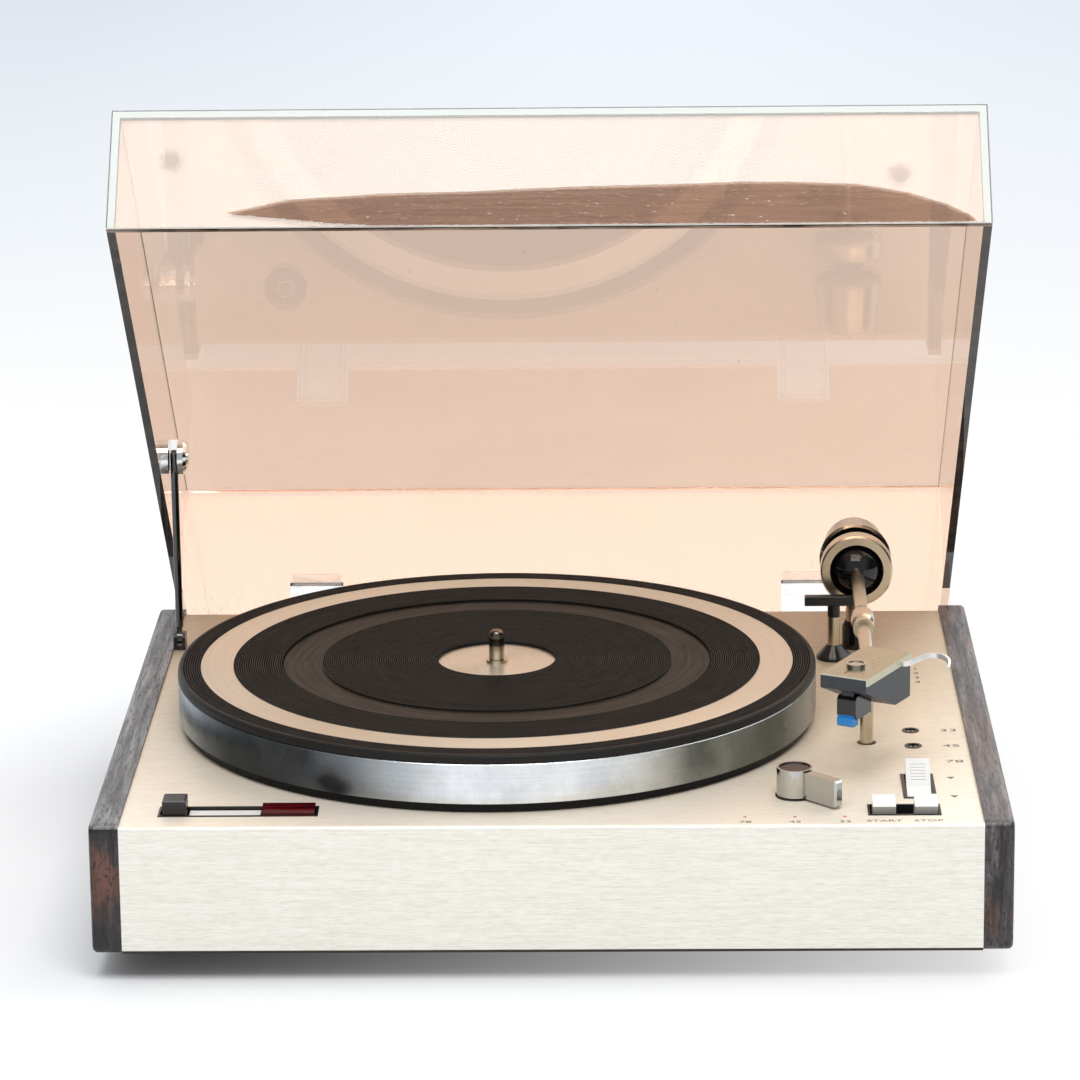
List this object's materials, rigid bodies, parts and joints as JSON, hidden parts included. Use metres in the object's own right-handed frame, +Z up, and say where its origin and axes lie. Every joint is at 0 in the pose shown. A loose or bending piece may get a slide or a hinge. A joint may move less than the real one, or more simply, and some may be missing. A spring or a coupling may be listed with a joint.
{
  "type": "record player",
  "caption": "Belt-drive record player with wooden cheeks, a brushed deck folded down at the front, a ribbed mat with a metal ring, a gimbal tonearm and a tinted lid held open by a stay",
  "frame": {"origin": "on the spindle's axis, level with the record's seat on the mat", "axes": "+X to the tonearm's side, +Y to the hinges, +Z up along the spindle"},
  "size_m": [0.39, 0.3903, 0.3497],
  "materials": {
    "left_cheek": "worn dark rosewood, matt",
    "right_cheek": "worn dark rosewood, matt",
    "deck_plate": "champagne, brushed from left to right",
    "rear_panel": "matt black",
    "base_board": "bare pressed board",
    "feet": "matt",
    "cord_grommets": "matt",
    "hinge_brackets": "satin",
    "stay_foot": "black",
    "sub_chassis": "satin",
    "isolators": "matt",
    "bearing_housing": "turned",
    "drive_motor": "satin",
    "drive_belt": "matt",
    "transformer": "varnished",
    "control_frames": "black",
    "circuit_board": "board",
    "switch_bodies": "black",
    "power_strip": "white",
    "pilot_lens": "dark red, clear",
    "arm_pillar": "champagne, satin",
    "deck_collars": "black",
    "lifter_column": "champagne, satin",
    "arm_rest": "champagne, satin",
    "adapter_well": "black",
    "adapter_peg": "light grey",
    "lid_top": "tinted clear acrylic",
    "lid_front_wall": "tinted clear acrylic",
    "lid_back_wall": "tinted clear acrylic",
    "lid_side_walls": "tinted clear acrylic",
    "hinge_leaves": "satin",
    "stay_drum": "polished",
    "stay_rod": "dark, polished",
    "platter": "turned and polished",
    "platter_skirt": "matt black",
    "rubber_mat": "ribbed black",
    "mat_rings": "champagne, satin",
    "sub_platter": "moulded",
    "spindle": "polished",
    "motor_pulley": "turned",
    "gimbal_ring": "champagne, satin",
    "arm_hub": "glossy black",
    "arm_tube": "champagne, satin",
    "headshell_body": "slate grey",
    "headshell_plate": "champagne, satin",
    "headshell_screw": "polished",
    "finger_lift": "polished",
    "cartridge": "black",
    "stylus": "blue",
    "counterweight": "satin black with a champagne rim",
    "tube_collar": "champagne, satin",
    "lifter_bar": "black",
    "cue_lever": "white",
    "speed_knob": "polished",
    "start_key": "white",
    "stop_key": "white",
    "power_slider": "black",
    "trimmer_front": "satin",
    "trimmer_middle": "satin",
    "trimmer_rear": "satin"
  },
  "bodies": {
    "plinth": {"left_cheek": "left_cheek", "right_cheek": "right_cheek", "deck_plate": "deck_plate", "rear_panel": "rear_panel", "base_board": "base_board", "feet": "feet", "cord_grommets": "cord_grommets", "hinge_brackets": "hinge_brackets", "stay_foot": "stay_foot", "sub_chassis": "sub_chassis", "isolators": "isolators", "bearing_housing": "bearing_housing", "drive_motor": "drive_motor", "drive_belt": "drive_belt", "transformer": "transformer", "control_frames": "control_frames", "circuit_board": "circuit_board", "switch_bodies": "switch_bodies", "power_strip": "power_strip", "pilot_lens": "pilot_lens", "arm_pillar": "arm_pillar", "deck_collars": "deck_collars", "lifter_column": "lifter_column", "arm_rest": "arm_rest", "adapter_well": "adapter_well", "adapter_peg": "adapter_peg"},
    "lid": {"lid_top": "lid_top", "lid_front_wall": "lid_front_wall", "lid_back_wall": "lid_back_wall", "lid_side_walls": "lid_side_walls", "hinge_leaves": "hinge_leaves", "stay_drum": "stay_drum"},
    "stay": {"stay_rod": "stay_rod"},
    "platter": {"platter": "platter", "platter_skirt": "platter_skirt", "rubber_mat": "rubber_mat", "mat_rings": "mat_rings", "sub_platter": "sub_platter", "spindle": "spindle"},
    "rotor": {"motor_pulley": "motor_pulley"},
    "yoke": {"gimbal_ring": "gimbal_ring"},
    "arm": {"arm_hub": "arm_hub", "arm_tube": "arm_tube", "headshell_body": "headshell_body", "headshell_plate": "headshell_plate", "headshell_screw": "headshell_screw", "finger_lift": "finger_lift", "cartridge": "cartridge", "stylus": "stylus"},
    "weight": {"counterweight": "counterweight"},
    "collar": {"tube_collar": "tube_collar"},
    "lifter": {"lifter_bar": "lifter_bar"},
    "cue": {"cue_lever": "cue_lever"},
    "knob": {"speed_knob": "speed_knob"},
    "start": {"start_key": "start_key"},
    "stop": {"stop_key": "stop_key"},
    "power": {"power_slider": "power_slider"},
    "trim_front": {"trimmer_front": "trimmer_front"},
    "trim_middle": {"trimmer_middle": "trimmer_middle"},
    "trim_rear": {"trimmer_rear": "trimmer_rear"}
  },
  "joints": [
    {"name": "lid_hinge", "type": "hinge", "parent": "plinth", "child": "lid", "pos_m": [0.0265, 0.1905, -0.0244], "axis": [-1, 0, 0], "range_deg": [-42.9, 0]},
    {"name": "stay_fold", "type": "hinge", "parent": "plinth", "child": "stay", "pos_m": [-0.153, 0.1065, -0.02075], "axis": [-1, 0, 0], "range_deg": [-88.6, 0]},
    {"name": "platter_spin", "type": "hinge", "parent": "plinth", "child": "platter", "pos_m": [0, 0, -0.04], "axis": [0, 0, 1], "continuous": true},
    {"name": "motor_spin", "type": "hinge", "parent": "plinth", "child": "rotor", "pos_m": [-0.08042, -0.06748, -0.03], "axis": [0, 0, 1], "continuous": true},
    {"name": "arm_swing", "type": "hinge", "parent": "plinth", "child": "yoke", "pos_m": [0.1662, 0.103, -0.02], "axis": [0, 0, 1], "range_deg": [-42, 0]},
    {"name": "arm_lift", "type": "hinge", "parent": "yoke", "child": "arm", "pos_m": [0.1662, 0.103, 0.012], "axis": [-0.9999, 0.0113, 0], "range_deg": [0, 8]},
    {"name": "lifter_rise", "type": "slide", "parent": "plinth", "child": "lifter", "axis": [0, 0, 1], "range_m": [0, 0.0067]},
    {"name": "cue_rock", "type": "hinge", "parent": "plinth", "child": "cue", "pos_m": [0.1837, -0.1085, -0.0327], "axis": [1, 0, 0], "range_deg": [0, 40.2]},
    {"name": "weight_slide", "type": "slide", "parent": "arm", "child": "weight", "axis": [0.0113, 0.9999, 0], "range_m": [0, 0.004]},
    {"name": "collar_twist", "type": "hinge", "parent": "arm", "child": "collar", "pos_m": [0.1652, 0.01501, 0.012], "axis": [-0.0113, -0.9999, 0], "range_deg": [0, 45]},
    {"name": "knob_turn", "type": "hinge", "parent": "plinth", "child": "knob", "pos_m": [0.1302, -0.12, -0.02], "axis": [0, 0, 1], "range_deg": [-88, 0]},
    {"name": "start_press", "type": "slide", "parent": "plinth", "child": "start", "axis": [0, 0, -1], "range_m": [0, 0.0015], "stiffness_N_per_m": 300, "springref_m": -0.001},
    {"name": "stop_press", "type": "slide", "parent": "plinth", "child": "stop", "axis": [0, 0, -1], "range_m": [0, 0.0015], "stiffness_N_per_m": 300, "springref_m": -0.001},
    {"name": "power_slide", "type": "slide", "parent": "plinth", "child": "power", "axis": [1, 0, 0], "range_m": [0, 0.029]},
    {"name": "trim_front_turn", "type": "hinge", "parent": "plinth", "child": "trim_front", "pos_m": [0.18465, -0.0738, -0.03], "axis": [0, 0, 1], "range_deg": [-135, 135]},
    {"name": "trim_middle_turn", "type": "hinge", "parent": "plinth", "child": "trim_middle", "pos_m": [0.18465, -0.0514, -0.03], "axis": [0, 0, 1], "range_deg": [-135, 135]},
    {"name": "trim_rear_turn", "type": "hinge", "parent": "plinth", "child": "trim_rear", "pos_m": [0.18465, -0.029, -0.03], "axis": [0, 0, 1], "range_deg": [-135, 135]}
  ],
  "couplings": [
    {"joint": "stay_fold", "follows": "lid_hinge", "ratio": 2.062},
    {"joint": "motor_spin", "follows": "platter_spin", "ratio": 10.118},
    {"joint": "lifter_rise", "follows": "arm_lift", "m_per_rad": 0.04727},
    {"joint": "cue_rock", "follows": "arm_lift", "ratio": 5}
  ]
}
